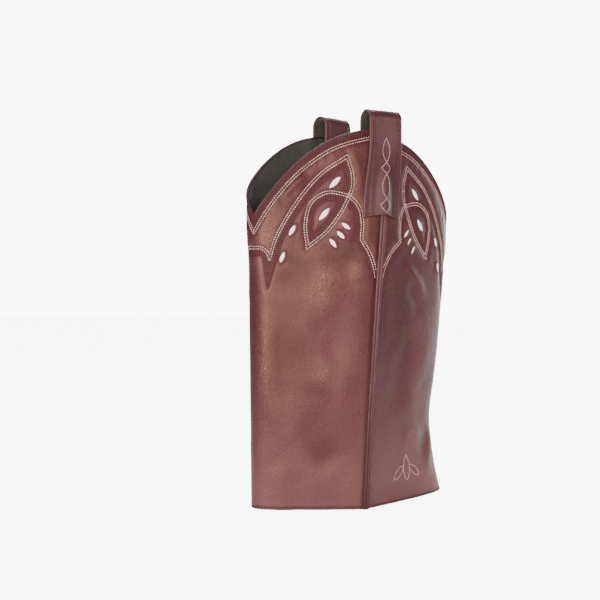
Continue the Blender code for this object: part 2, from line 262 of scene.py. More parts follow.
FACES = {panel: face_table(panel) for panel in ("back", "front")}
for end in (0, -1):             # at a side seam both panels are moved out along the mitre between them
    faces_out = [FACES[panel][1][:, end].copy() for panel in ("back", "front")]
    mitre = faces_out[0] + faces_out[1]
    mitre /= np.linalg.norm(mitre, axis=1)[:, None]
    mitre /= (mitre * faces_out[0]).sum(axis=1)[:, None]
    for points, normals in FACES.values():
        reach = int(SEAM_BLEND / run_along(points[0])[-1] * TABLE_ACROSS)
        for step in range(reach):
            at = step if end == 0 else -1 - step
            part = (1.0 - step / reach) ** 2
            normals[:, at] = part * mitre + (1.0 - part) * normals[:, at]


def line_distance(points, line):
    """Distance of flat points (n, 2) from a polyline, and how far along it the nearest place is."""
    best = np.full(len(points), 1e9)
    where = np.zeros(len(points))
    run = 0.0
    for start, end in zip(line[:-1], line[1:]):
        step = end - start
        length = np.linalg.norm(step)
        t = np.clip((points - start) @ step / (length * length), 0.0, 1.0)
        gap = np.hypot(*(points - start - t[:, None] * step).T)
        nearer = gap < best
        best = np.where(nearer, gap, best)
        where = np.where(nearer, run + t * length, where)
        run += length
    return best, where


def ease(value, start, end):
    """0 up to start, 1 from end, and smooth between."""
    t = np.clip((value - start) / (end - start), 0.0, 1.0)
    return t * t * (3.0 - 2.0 * t)


def hill(distance, width):
    """1 at no distance, dying away over that width."""
    return np.exp(-(distance / width) ** 2)


def read_table(table, i, j):
    """A table's value between its rows, at i, and its columns, at j."""
    i0, j0 = i.astype(int), j.astype(int)
    fi, fj = i - i0, j - j0
    if table.ndim == 3:
        fi, fj = fi[..., None], fj[..., None]
    return ((1 - fi) * ((1 - fj) * table[i0, j0] + fj * table[i0, j0 + 1])
            + fi * ((1 - fj) * table[i0 + 1, j0] + fj * table[i0 + 1, j0 + 1]))


def ripple(a, b, size, seed):
    """Smooth uneven value between -1 and 1 over a flat sheet, with features about that size."""
    values = np.random.default_rng(seed).uniform(-1.0, 1.0, (64, 64))
    a, b = np.asarray(a) / size, np.asarray(b) / size
    i, j = np.floor(a).astype(int), np.floor(b).astype(int)
    s, t = a - i, b - j
    s, t = s * s * (3 - 2 * s), t * t * (3 - 2 * t)
    value = {(m, n): values[(i + m) % 64, (j + n) % 64] for m in (0, 1) for n in (0, 1)}
    return ((value[0, 0] * (1 - s) + value[1, 0] * s) * (1 - t)
            + (value[0, 1] * (1 - s) + value[1, 1] * s) * t)


def from_seam(across):
    """Distance round the panel from the nearer side seam; across is 0 at the outer, 2 at the inner."""
    return RIM_HALF_WIDTH * np.minimum(across, 2.0 - across)


def across_at(side, share):
    """The across value of a place that share of a half panel from a side seam."""
    return share if side == "outer" else 2.0 - share


def drape(panel, across, height):
    """How far the worn folds and the leather's unevenness move the whole wall out there."""
    flat = np.column_stack((across.ravel() * RIM_HALF_WIDTH, height.ravel()))
    out = sum(depth * ripple(flat[:, 0] + 900.0, flat[:, 1], size, seeds[panel])
              for depth, size, seeds in UNEVEN)
    for width, depth, line in FOLDS[panel]:
        line = np.array(line, float)
        total = run_along(line)[-1]
        gap, run = line_distance(flat, line)
        taper = ease(run, 0.0, FOLD_FADE * total)
        if line[-1, 1] > 0.0:   # a fold that runs out at the hem does not fade there
            taper = taper * ease(total - run, 0.0, FOLD_FADE * total)
        out += depth * taper * hill(gap, width)
    return out.reshape(across.shape) * ease(from_seam(across), *DRAPE_FREE)


def on_panel(panel, across, height, out=0.0):
    """Points of a panel: across is 0 at the outer seam, 1 at the middle, 2 at the inner seam."""
    across, height, out = np.broadcast_arrays(np.asarray(across, float), np.asarray(height, float), out)
    i = np.clip(height, 0.0, TABLE_HEIGHTS[-1] - 0.001)
    j = np.clip(across, 0.0, 1.99999) / 2.0 * (TABLE_ACROSS - 1)
    points, normals = (read_table(table, i, j) for table in FACES[panel])
    moved = (out + drape(panel, across, height))[..., None] * normals
    return np.concatenate((points + moved, height[..., None]), axis=-1)


def rim(panel, across, below=0.0):
    """Height of the scalloped rim, or of a line that far below it."""
    share = np.minimum(across, 2.0 - across)
    peak = np.where(across <= 1.0, RIM_PEAK["outer"], RIM_PEAK["inner"])
    slope = RIM_POWER * (peak - RIM_VALLEY) * share ** (RIM_POWER - 1.0) / RIM_HALF_WIDTH
    return (peak - PANEL_DROP[panel] - (peak - RIM_VALLEY) * share ** RIM_POWER
            - below * np.hypot(1.0, slope))


def panel_top(panel, across):
    """Where the leather and the lining end, inside the rim bead."""
    return rim(panel, across, BEAD_HEIGHT + BEAD_LAP)


def around_panel(count):
    """Across values of the columns of a panel's grid, just short of both side seams."""
    return np.linspace(SEAM_INSET / RIM_HALF_WIDTH, 2.0 - SEAM_INSET / RIM_HALF_WIDTH, count)


def pattern_rise(panel, share, side):
    """What carries a height of the flat pattern, drawn for the outer back quarter, to another quarter."""
    rise = RIM_PEAK[side] - RIM_PEAK["outer"]
    return rise * (1.0 - share ** RIM_POWER) - PANEL_DROP[panel]


# The flat stitch pattern of one quarter, as (round from the side seam, height).  One boot-stitch
# line runs from the V in smooth runs that meet at sharp corners.
TOP_LINE = ((106.5, 223.0), (90.0, 247.5), (68.0, 271.5), (40.0, 290.5), (6.0, 300.5))
BROW = ((106.5, 211.0), (99.5, 210.5), (94.5, 207.0), (92.0, 203.0))
SWEEP = ((92.0, 203.0), (86.0, 221.0), (71.0, 246.5), (52.0, 269.0), (30.0, 284.0))
LEAF_SIDE = ((30.0, 284.0), (26.0, 271.5), (25.5, 260.5), (28.0, 252.5))
OVAL_RIGHT = ((28.0, 252.5), (35.0, 238.5), (46.0, 223.5), (61.0, 211.0))
OVAL_LEFT = ((61.0, 211.0), (63.5, 229.0), (59.5, 246.0), (46.0, 255.0), (28.0, 252.5))
BULGE = {"back": ((28.0, 252.5), (20.0, 243.5), (17.0, 231.0), (17.0, 217.5)),
         "front": ((28.0, 252.5), (23.0, 245.0), (22.0, 235.0), (23.5, 222.5))}
YOKE = {"back": ((17.0, 217.5), (9.0, 205.5), (4.0, 193.5), (2.5, 187.5)),
        "front": ((23.5, 222.5), (14.5, 214.5), (6.5, 202.0), (3.0, 189.5))}
CREAM_GAP = 1.05                # each cream row is this far from the line
RED_OFFSETS = (2.9, 4.4, 5.9)   # the dark red rows beside the line
RED_SHARES = (0.2, 0.4, 0.61)   # and between the rim and the top line
RED_STOP = -2.4                 # a dark red row ends at this offset from a line that it runs into


def smooth(line):
    """A polyline in steps of about 1 mm on the smooth curve through some points."""
    line = np.array(line, float)
    ahead = np.vstack((2 * line[0] - line[1], line, 2 * line[-1] - line[-2]))
    t = np.linspace(0.0, 1.0, 16, endpoint=False)[:, None]
    dense = [0.5 * (2 * p1 + (p2 - p0) * t + (2 * p0 - 5 * p1 + 4 * p2 - p3) * t ** 2
                    + (3 * p1 - p0 - 3 * p2 + p3) * t ** 3)
             for p0, p1, p2, p3 in zip(ahead[:-3], ahead[1:-2], ahead[2:-1], ahead[3:])]
    dense = np.vstack((*dense, line[-1:]))
    return evenly(dense, max(2, int(round(run_along(dense)[-1])) + 1))


def beside(line, distance):
    """The line moved sideways, towards the side where the dark red rows lie."""
    along = np.gradient(line, axis=0)
    along /= np.linalg.norm(along, axis=1)[:, None]
    return line + distance * np.column_stack((-along[:, 1], along[:, 0]))


def meeting(first, second):
    """Where the first line first meets the second: index and part along it, index on the second."""
    q, s = second[:-1], np.diff(second, axis=0)
    for i in range(len(first) - 1):
        p, r = first[i], first[i + 1] - first[i]
        cross = r[0] * s[:, 1] - r[1] * s[:, 0]
        cross = np.where(np.abs(cross) < 1e-12, 1e-12, cross)
        d = q - p
        t = (d[:, 0] * s[:, 1] - d[:, 1] * s[:, 0]) / cross
        u = (d[:, 0] * r[1] - d[:, 1] * r[0]) / cross
        hit = (t >= 0) & (t <= 1) & (u >= 0) & (u <= 1)
        if hit.any():
            j = int(np.argmax(hit))
            return i, t[j], j
    return None


def until(line, stop):
    """The line up to where it first meets another."""
    found = meeting(line, stop)
    if found is None:
        return line
    i, t, _ = found
    return np.vstack((line[:i + 1], line[i] + t * (line[i + 1] - line[i])))


def trim(first, second):
    """Two runs brought to their corner: cut where they cross, or carried on until they meet."""
    found = meeting(first[::-1], second)
    if found is None:
        p, r = first[-1], first[-1] - first[-3]
        q, s = second[0], second[0] - second[2]
        t = ((q - p)[0] * s[1] - (q - p)[1] * s[0]) / (r[0] * s[1] - r[1] * s[0])
        return np.vstack((first, p + t * r)), second
    i, t, j = found
    end, before = len(first) - 1 - i, len(first) - 2 - i
    point = first[end] + t * (first[before] - first[end])
    return np.vstack((first[:before + 1], point)), second[j + 1:]


def corner(first, second):
    return np.vstack(trim(first, second))


def quarter_rows(panel):
    """Every stitch row of a quarter, on the flat pattern: lists of cream and of dark red lines."""
    top, brow, sweep, leaf, oval_right, oval_left, bulge, yoke = (smooth(run) for run in (
        TOP_LINE, BROW, SWEEP, LEAF_SIDE, OVAL_RIGHT, OVAL_LEFT, BULGE[panel], YOKE[panel]))
    cream, red = [], []
    for gap in (-CREAM_GAP, CREAM_GAP):
        cream.append(beside(top, gap))
        cream.append(corner(corner(beside(brow, gap), beside(sweep, gap)), beside(leaf, gap)))
        oval = corner(beside(oval_right, gap), beside(oval_left, gap))
        cream.append(corner(corner(oval, beside(bulge, gap)), beside(yoke, gap)))
    edge = np.column_stack((top[:, 0], rim("back", top[:, 0] / RIM_HALF_WIDTH, BEAD_HEIGHT)))
    red += [edge + share * (top - edge) for share in RED_SHARES]
    for gap in RED_OFFSETS:
        less = RED_OFFSETS[-1] - gap
        tip = (92.7 + 0.25 * (gap - 2.9), 203.4 - 5.2 * (gap - 1.1))
        dagger = smooth(((106.5, 211.0 - gap), (101.0, 211.0 - gap), (98.8 - 0.4 * less, 210.2 - gap),
                         (97.3 - 0.5 * less, 205.3 - gap), tip))
        leaf_row = corner(beside(sweep, gap)[8 + int(gap):], beside(leaf, gap))
        red.append(np.vstack((dagger, until(leaf_row, beside(oval_left, RED_STOP)))))
        left, right = trim(beside(oval_left, gap), beside(oval_right, gap))
        red.append(corner(right, left))
        red.append(until(beside(bulge, gap)[::-1], beside(oval_right, RED_STOP)))
    return cream, red


QUARTER_ROWS = {panel: quarter_rows(panel) for panel in ("back", "front")}

# The almond inlays of one quarter: round from the side seam, height, length, width, lean.  On the
# front panels the low three are slim and steep, pinched by the fold that runs below the oval.
INLAYS = ((40, 263, 14, 4.5, 45), (48.5, 237.5, 14, 4.5, 50), (74, 224.5, 10.5, 3.5, 60),
          (81.5, 203, 10.5, 3.5, 70))
LOW_INLAYS = {"back": ((30.5, 228, 10, 3.5, -35), (34.5, 221, 10, 3.5, -42), (40.5, 214.5, 10, 3.5, -50)),
              "front": ((31, 230, 8.5, 2.2, -56), (35, 223.5, 8.5, 2.0, -60), (41, 216.5, 8.5, 2.4, -64))}

# What the stitching does to the leather, worked out once on the flat quarter and read from there
FLAT_STEP = 0.5
FLAT_ROUND = np.arange(0.0, RIM_HALF_WIDTH + FLAT_STEP, FLAT_STEP)
FLAT_HEIGHT = np.arange(160.0, 313.0, FLAT_STEP)
FLAT_FADE = 14.0                # the relief fades in over this height at the flat quarter's foot
ROW_SINK, ROW_WIDTH = 0.42, 0.65        # a stitch row pulls the leather down
PUFF, PUFF_REACH, PUFF_FADE = 0.52, 3.2, 13.0   # and the leather stands up beside it
PUCKER, PUCKER_SIZE, PUCKER_REACH = 0.34, 2.9, 3.5  # short creases run off the boot-stitch lines
# Each line's creases: its points, start of the pattern, slant, seed, patch size, threshold, distance
PUCKERED = ((SWEEP, 300.0, 0.0, 21, 14.0, -0.5, 3.0), (TOP_LINE, 100.0, 0.5, 23, 13.0, -0.4, 4.0))


def stitched_relief(panel):
    """Relief, closeness to a row, cherry-dyed bands and yoke, all over the flat quarter."""
    flat = np.stack(np.meshgrid(FLAT_ROUND, FLAT_HEIGHT, indexing="ij"), axis=-1).reshape(-1, 2)
    distance, height = flat.T
    to_cream, to_red = (np.min([line_distance(flat, line[::2])[0] for line in lines], axis=0)
                        for lines in QUARTER_ROWS[panel])
    to_row = np.minimum(to_cream, to_red)
    relief = (PUFF * (1.0 - hill(to_row, PUFF_REACH)) * hill(to_row, PUFF_FADE)
              - ROW_SINK * hill(to_row, ROW_WIDTH))
    above = {name: height - np.interp(distance, *smooth(line)[::-1].T)
             for name, line in (("top", TOP_LINE), ("sweep", SWEEP))}
    between = (above["top"] < -1.6) & (above["sweep"] > 1.2) & (distance < 92.0) & (distance > 29.0)
    for line, start, slant, seed, patch, least, off in PUCKERED:
        gap, run = line_distance(flat, smooth(line))
        creases = ripple(run + start + slant * gap, 0.3 * gap + 90.0, PUCKER_SIZE, seed)
        creases *= ease(ripple(run + start, gap, patch, seed + 1), least, 0.6)
        relief += np.where(between, PUCKER * creases * hill(gap - off, PUCKER_REACH), 0.0)
    cherry = np.maximum(np.clip((0.6 + above["top"]) / 1.2, 0.0, 1.0), 0.7 * (1.0 - ease(to_red, 1.0, 1.8)))
    border = np.vstack((smooth(YOKE[panel])[::-1], smooth(BULGE[panel])[::-1]))
    level = np.maximum.accumulate(border[:, 1])
    under_strap = ease(np.interp(height, level, border[:, 0]) - distance, 0.0, 2.5)
    under_strap *= ease(height, 186.0, 190.0)
    # The closeness to a row darkens the leather as painted shade in the stitch grooves, and dulls it
    masks = {"relief": relief, "stitched": hill(to_row, 0.8), "cherry": cherry, "under_strap": under_strap}
    return {name: values.reshape(len(FLAT_ROUND), -1) for name, values in masks.items()}


RELIEF = {panel: stitched_relief(panel) for panel in ("back", "front")}


def flat_quarter(panel, across, height):
    """Where a place on a panel lies on the flat quarter."""
    share = np.minimum(across, 2.0 - across)
    rise = np.where(across <= 1.0, pattern_rise(panel, share, "outer"), pattern_rise(panel, share, "inner"))
    return share * RIM_HALF_WIDTH, height - rise


def read_relief(panel, name, across, height):
    """A mask of the flat quarter at points of a panel."""
    distance, level = flat_quarter(panel, across, height)
    i = np.clip(distance / FLAT_STEP, 0, len(FLAT_ROUND) - 1.001)
    j = np.clip((level - FLAT_HEIGHT[0]) / FLAT_STEP, 0, len(FLAT_HEIGHT) - 1.001)
    value = read_table(RELIEF[panel][name], i, j)
    return value * ease(level, FLAT_HEIGHT[0], FLAT_HEIGHT[0] + FLAT_FADE) if name == "relief" else value


LIP_HEIGHT, LIP_AT, LIP_WIDTH = 0.45, 0.5, 0.9      # beyond an inlay's outline
SEAT_DEPTH = 0.25


def inlay_lip(panel, across, height):
    """A low lip of leather round every inlay, and a seat for it."""
    distance, level = flat_quarter(panel, across, height)
    out = np.zeros_like(distance)
    for round_at, up, length, width, lean in INLAYS + LOW_INLAYS[panel]:
        cos, sin = math.cos(math.radians(lean)), math.sin(math.radians(lean))
        dx, dz = distance - round_at, level - up
        along = (-dx * cos + dz * sin) / (0.5 * length)
        beyond = np.abs(dx * sin + dz * cos) - 0.5 * width * (1.0 - along ** 2)
        past = np.abs(along) - 1.0
        beyond = np.where(past > 0.0, np.hypot(beyond, past * 0.5 * length), beyond)
        out += LIP_HEIGHT * hill(beyond - LIP_AT, LIP_WIDTH) - SEAT_DEPTH * ease(-beyond, -0.2, 0.6)
    return out


HEM_ROW = 2.0                   # the hem stitching's height
# The turned hem's relief: height, out of the panel
HEM_ROLL = np.array(((0.0, -0.55), (0.35, -0.1), (0.8, 0.14), (1.4, 0.16), (HEM_ROW, -0.1), (2.6, 0.08),
                     (3.2, 0.12), (4.6, 0.1), (7.0, 0.0)))
SEAM_VALLEY, SEAM_VALLEY_AT, SEAM_VALLEY_WIDTH = 0.35, 3.4, 1.1    # pulled in beside the welt
DEEPEST_RELIEF = -0.5
RELIEF_FREE, EDGE_FREE = (1.0, 4.0), (0.0, 1.5)     # it fades out at a seam and at the rim


def panel_relief(panel, across, height):
    """Relief of the leather's outer face alone, over the wall's own drape."""
    out = read_relief(panel, "relief", across, height) + inlay_lip(panel, across, height)
    out = np.maximum(out, DEEPEST_RELIEF) + np.interp(height, *HEM_ROLL.T)
    seam_gap = from_seam(across)
    edge = ease(panel_top(panel, across) - height, *EDGE_FREE)
    valley = SEAM_VALLEY * hill(seam_gap - SEAM_VALLEY_AT, SEAM_VALLEY_WIDTH)
    return out * ease(seam_gap, *RELIEF_FREE) * edge - valley * edge


def new_piece(name, points, faces, material, sharp=55.0):
    """A closed body from points in millimetres, faces out, smooth but for its real edges."""
    mesh = bpy.data.meshes.new(name)
    mesh.from_pydata((np.asarray(points) * MM).tolist(), [], faces)
    body = bmesh.new()
    body.from_mesh(mesh)
    bmesh.ops.recalc_face_normals(body, faces=body.faces)
    body.to_mesh(mesh)
    body.free()
    mesh.shade_smooth()
    mesh.set_sharp_from_angle(angle=math.radians(sharp))
    mesh.materials.append(material)
    return add_object(name, mesh)


def quads(grid):
    """Faces between the neighbours in a grid of point numbers."""
    near, far = grid[:-1], grid[1:]
    return np.stack((near[:, :-1], near[:, 1:], far[:, 1:], far[:, :-1]), axis=-1).reshape(-1, 4)


BACK_STEP = 4                   # the unseen side of a wall has every fourth row and column


def shell_piece(name, panel, across, level, face_out, back_out, material):
    """A closed wall between a fine grid that far out of the panel and a coarse one behind it."""
    outer = on_panel(panel, across, level, face_out)
    inner = on_panel(panel, across[::BACK_STEP, ::BACK_STEP], level[::BACK_STEP, ::BACK_STEP], back_out)
    fine = np.arange(outer[..., 0].size).reshape(outer.shape[:2])
    coarse = fine.size + np.arange(inner[..., 0].size).reshape(inner.shape[:2])
    faces = quads(fine).tolist() + quads(coarse)[:, ::-1].tolist()
    for sides in (((fine[0], coarse[0], -1), (fine[-1], coarse[-1], 1)),
                  ((fine[:, 0], coarse[:, 0], 1), (fine[:, -1], coarse[:, -1], -1))):
        for k in range(len(sides[0][1]) - 1):
            for edge, behind, turn in sides:
                face = edge[k * BACK_STEP:(k + 1) * BACK_STEP + 1].tolist() + behind[k:k + 2][::-1].tolist()
                faces.append(face[::turn])
    return new_piece(name, np.concatenate((outer.reshape(-1, 3), inner.reshape(-1, 3))), faces, material)


def keep_attribute(piece, name, values):
    """Stores a value for each of the piece's points, for its material to read."""
    filled = np.zeros(len(piece.data.vertices), np.float32)
    filled[:values.size] = values.ravel()
    piece.data.attributes.new(name, "FLOAT", "POINT").data.foreach_set("value", filled)


def stored(tree, name):
    """What keep_attribute stored under that name."""
    return add_node(tree, "ShaderNodeAttribute", attribute_name=name).outputs["Fac"]


def new_group(name, kind, inputs, outputs):
    """A node group with sockets named in (label, kind) pairs, its input sockets and its end."""
    tree = bpy.data.node_groups.new(name, kind)
    for in_out, sockets in (("INPUT", inputs), ("OUTPUT", outputs)):
        for label, socket in sockets:
            tree.interface.new_socket(name=label, in_out=in_out, socket_type="NodeSocket" + socket)
    return tree, tree.nodes.new("NodeGroupInput").outputs, tree.nodes.new("NodeGroupOutput")


def blend_colours(tree, share, first, second):
    """A mix of two colours, each a tuple or an output."""
    node = add_node(tree, "ShaderNodeMix", {0: share}, data_type="RGBA")
    for index, colour in ((6, first), (7, second)):
        fill(tree, node, {index: (*colour, 1.0) if isinstance(colour, tuple) else colour})
    return node.outputs[2]


def noise(tree, at, scale, detail, roughness=0.5, distortion=0.0):
    """A noise texture's outputs."""
    inputs = {"Vector": at, "Scale": scale, "Detail": detail, "Roughness": roughness,
              "Distortion": distortion}
    return add_node(tree, "ShaderNodeTexNoise", inputs).outputs


# Leather grain: pebbled cells broken by pores and fine hair creases, with cloudy dye over them
grain, grain_in, grain_end = new_group(
    "leather_grain", "ShaderNodeTree",
    (("Place", "Vector"), ("Pebbles per metre", "Float"), ("Clouds per metre", "Float"),
     ("Creasing", "Float")),
    (("Height", "Float"), ("Clouds", "Float"), ("Fine", "Float"), ("Tops", "Float")))
place, pebbles, clouds, creasing = (grain_in[i] for i in range(4))
WANDER = 0.0016                 # metres by which the cells are bent out of line
wander = noise(grain, place, maths(grain, "MULTIPLY", pebbles, 0.4), 2.0)["Color"]
bent = vector_maths(grain, "ADD", place, vector_maths(grain, "MULTIPLY", wander, (WANDER,) * 3))
cells = add_node(grain, "ShaderNodeTexVoronoi", {"Vector": bent, "Scale": pebbles},
                 feature="DISTANCE_TO_EDGE")
fine = noise(grain, place, maths(grain, "MULTIPLY", pebbles, 2.1), 3.0, 0.6)["Fac"]
crease = noise(grain, bent, maths(grain, "MULTIPLY", pebbles, 0.16), 5.0, 0.65, 1.2)["Fac"]
crease_line = maths(grain, "ABSOLUTE", maths(grain, "SUBTRACT", crease, 0.5))
tops = maths(grain, "MULTIPLY", remap(grain, cells.outputs["Distance"], 0.0, 0.28),
             remap(grain, crease_line, 0.0, 0.05))
height = maths(grain, "ADD", maths(grain, "MULTIPLY", tops, creasing), maths(grain, "MULTIPLY", fine, 0.15))
fill(grain, grain_end, {"Height": height, "Clouds": noise(grain, place, clouds, 3.0, 0.55)["Fac"],
                        "Fine": fine, "Tops": tops})


def new_finish(name, roughness, tint=(1.0, 1.0, 1.0), specular=0.5, coat=0.0, coat_roughness=0.3, sheen=0.0):
    """A material whose plain values are set on the shader itself, and the place to read on its piece."""
    material = bpy.data.materials.new(name)
    material.use_nodes = True
    tree = material.node_tree
    shader = fill(tree, tree.nodes["Principled BSDF"], {
        "Roughness": roughness, "Specular IOR Level": specular, "Specular Tint": (*tint, 1.0),
        "Coat Weight": coat, "Coat Roughness": coat_roughness, "Sheen Weight": sheen})
    return material, tree, shader, add_node(tree, "ShaderNodeTexCoord").outputs["Object"]


def grained(tree, at, pebble, cloud=22.0, creasing=0.5):
    """The leather grain's outputs."""
    inputs = {"Place": at, "Pebbles per metre": pebble, "Clouds per metre": cloud, "Creasing": creasing}
    return add_node(tree, "ShaderNodeGroup", inputs, node_tree=grain).outputs


def dress(tree, shader, colour, height, strength, distance):
    """Gives a shader its colour, and a bump of that distance in metres."""
    bump = add_node(tree, "ShaderNodeBump", {"Height": height, "Strength": strength, "Distance": distance})
    fill(tree, shader, {"Base Color": colour, "Normal": bump.outputs["Normal"]})


def leather(name, dark, light, warm, pebble, bump, roughness, creasing=0.6, cracked=None, reads=(), dull=(),
            **finish):
    """Dyed leather, cloudy between a dark and a light tone and warm on the grain's tops.

    reads are (attribute, tint, strength) that tint it with dye and with painted light and shade, dull are
    (attribute, added roughness), and cracked is (attribute, added creasing), whose tint is weaker in the
    grain's cracks.
    """
    material, tree, shader, at = new_finish(name, 0.45, **finish)
    if cracked:
        added = maths(tree, "MULTIPLY", stored(tree, cracked[0]), cracked[1])
        creasing = maths(tree, "ADD", added, creasing)
    skin = grained(tree, at, pebble, creasing=creasing)
    colour = blend_colours(tree, remap(tree, skin["Clouds"], 0.32, 0.68), dark, light)
    colour = blend_colours(tree, remap(tree, skin["Tops"], 0.4, 1.0, high=0.15), colour, warm)
    for attribute, tint, strength in reads:
        share = maths(tree, "MULTIPLY", stored(tree, attribute), strength)
        if cracked and attribute == cracked[0]:
            share = maths(tree, "MULTIPLY", share, remap(tree, skin["Tops"], 0.05, 0.55, low=0.45))
        colour = blend_colours(tree, share, colour, tint)
    rough = remap(tree, skin["Fine"], 0.3, 0.7, *roughness)
    for attribute, added in dull:
        rough = maths(tree, "ADD", rough, maths(tree, "MULTIPLY", stored(tree, attribute), added))
    fill(tree, shader, {"Roughness": rough})
    dress(tree, shader, colour, skin["Height"], bump, 0.0004)
    return material


# The shaft's reads: cherry and under_strap are dye; the others paint light into the colour: a golden painted
# highlight on the glossy patches, painted light at the hem and on pale patches, painted shade beside the
# side seams and on dark patches, and near-black painted shade in the stitch grooves and beside the welt.
shaft_leather = leather(
    "burgundy_shaft", (0.033, 0.0064, 0.0135), (0.048, 0.0106, 0.0200), (0.085, 0.028, 0.026), 490.0, 0.34,
    (0.33, 0.46), creasing=0.5, cracked=("gloss_and_painted_highlight", 1.1),
    reads=(("painted_light", (0.115, 0.048, 0.052), 0.7), ("painted_shade", (0.024, 0.0034, 0.0088), 0.9),
           ("gloss_and_painted_highlight", (0.118, 0.050, 0.039), 0.75), ("under_strap", (0.034, 0.0055, 0.0105), 0.6),
           ("cherry", (0.042, 0.0046, 0.0145), 0.8), ("stitched", (0.007, 0.001, 0.0025), 0.85)),
    dull=(("gloss_and_painted_highlight", -0.14), ("painted_shade", 0.07), ("cherry", 0.15), ("stitched", 0.25)),
    tint=(1.0, 0.58, 0.40), specular=0.46, coat=0.03, coat_roughness=0.22)

# Patches on the leather: round, height, half width, half height and strength of each patch, for
# both sides of a panel.  It is worn glossy with its grain cracked, and carries a painted golden highlight,
GLOSS_AND_HIGHLIGHT_PATCHES = {"back": ((45, 180, 14, 16, 1.25), (19, 190, 6, 9, 1.0), (41, 110, 8, 9, 1.0), (58, 207, 9, 5, 1.2),
                  (26, 268, 5, 24, 1.0), (95, 221, 7, 10, 1.2), (96, 120, 5, 38, 0.6)),
         "front": ((76, 132, 10, 30, 0.25), (62, 84, 10, 26, 0.25))}
# or painted shade darkens it,
PAINTED_SHADE_PATCHES = {"back": ((72, 133, 15, 15, 1.0), (70, 200, 15, 17, 1.0), (27, 206, 11, 11, 1.3),
                 (40, 201, 12, 5, 1.2), (42, 50, 14, 13, 0.8), (80, 247, 9, 9, 1.2), (64, 261, 9, 7, 1.2),
                 (78, 188, 9, 9, 1.2), (13, 160, 6, 18, 1.0)),
        "front": ((34, 150, 18, 45, 1.0), (50, 250, 14, 20, 1.0))}
# or painted light lightens it
PAINTED_LIGHT_PATCHES = {"back": ((31, 122, 8, 34, 0.8), (98, 205, 7, 12, 0.7), (44, 235, 10, 10, 0.8), (60, 252, 8, 6, 0.6),
                 (43, 276, 9, 7, 0.8), (74, 262, 5, 5, 0.6), (84, 22, 8, 20, 0.9)),
        "front": ((60, 120, 12, 60, 0.4), (6, 160, 8, 70, 0.4), (66, 46, 24, 26, 0.8))}
HEM_PAINTED_LIGHT = (6.0, 112.0)         # painted light lightens the hem, up to this height
SEAM_PAINTED_SHADE = (4.0, 28.0)          # and painted shade darkens the wall beside the side seams, out to here
INNER_SHINE = 0.35              # the inner side gets less gloss and painted highlight than the outer one


def gloss_light_and_shade_masks(panel, across, height):
    """How glossy the leather is, with its painted highlight, and where painted light and painted shade lie,
    at each point of a panel.
    """
    distance = from_seam(across)

    def patches(places):
        return np.max([strength * np.exp(-((distance - round_at) / wide) ** 2 - ((height - up) / tall) ** 2)
                       for round_at, up, wide, tall, strength in places], axis=0)

    def mottle(size, seed):
        return ripple(distance + 40.0, height, size, seed)

    shine = patches(GLOSS_AND_HIGHLIGHT_PATCHES[panel]) * (0.8 + 0.35 * mottle(7.0, 31) + 0.3 * mottle(3.0, 32))
    # painted light lightens the hem, and painted shade darkens the wall beside the side seams
    hem = (1.0 - ease(height, *HEM_PAINTED_LIGHT)) * (0.85 + 0.25 * mottle(19.0, 33))
    seam = (1.0 - ease(distance, *SEAM_PAINTED_SHADE)) * ease(height, 95.0, 150.0) * (1.0 - ease(height, 200.0, 235.0))
    masks = {"gloss_and_painted_highlight": np.where(across > 1.0, INNER_SHINE, 1.0) * shine,
             "painted_light": np.maximum(hem, patches(PAINTED_LIGHT_PATCHES[panel])), "painted_shade": np.maximum(seam, patches(PAINTED_SHADE_PATCHES[panel]))}
    return {name: np.clip(values, 0.0, 1.0) for name, values in masks.items()}


HEM_LEVELS = np.array([0.0, 0.35, 0.8, 1.4, 2.0, 2.6, 3.2, 4.2, 5.6, 7.2, 9.4])
PANEL_SPLIT = 172.0             # above this height the rows close up and follow the rim
LOWER_ROWS, UPPER_ROWS, PANEL_COLUMNS = 62, 152, 253

for panel in ("back", "front"):
    across = around_panel(PANEL_COLUMNS)
    head = panel_top(panel, across)
    lower = np.concatenate((HEM_LEVELS, np.linspace(HEM_LEVELS[-1], PANEL_SPLIT, LOWER_ROWS + 1)[1:]))
    steps = np.linspace(0.0, 1.0, UPPER_ROWS + 1)[1:, None]
    level = np.vstack((np.repeat(lower[:, None], PANEL_COLUMNS, axis=1),
                       PANEL_SPLIT + steps * (head - PANEL_SPLIT)))
    where = np.repeat(across[None, :], len(level), axis=0)
    piece = shell_piece(panel + "_shaft", panel, where, level, panel_relief(panel, where, level), -LEATHER,
                        shaft_leather)
    # Painted shade along the hem row's groove and, on the back panel, a painted shadow in the gap beside the
    # welt, added to the stitch rows' painted shade
    painted_groove_shade = hill(level - HEM_ROW, 0.75)
    if panel == "back":
        painted_groove_shade = np.maximum(painted_groove_shade, 0.8 * (1.0 - ease(from_seam(where), 2.9, 4.4)))
    masks = {mask: read_relief(panel, mask, where, level) for mask in ("stitched", "cherry", "under_strap")}
    masks["stitched"] = np.maximum(painted_groove_shade, masks["stitched"])
    for mask, values in {**masks, **gloss_light_and_shade_masks(panel, where, level)}.items():
        keep_attribute(piece, mask, values)
    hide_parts(panel + "_panel")
    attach(piece, "root")

# ---------------------------------------------------------------- the linings
# Each panel is lined with 1 mm pigskin suede, glued behind the leather before the sides are sewn.
# It stops just above the hem, and its grey nap shows inside the mouth.
LINING_FOOT = 0.8
LINING_ROWS, LINING_COLUMNS = 120, 165
SEAM_ALLOWANCE = 0.12           # the lining's face lies this much nearer the leather beside the seams


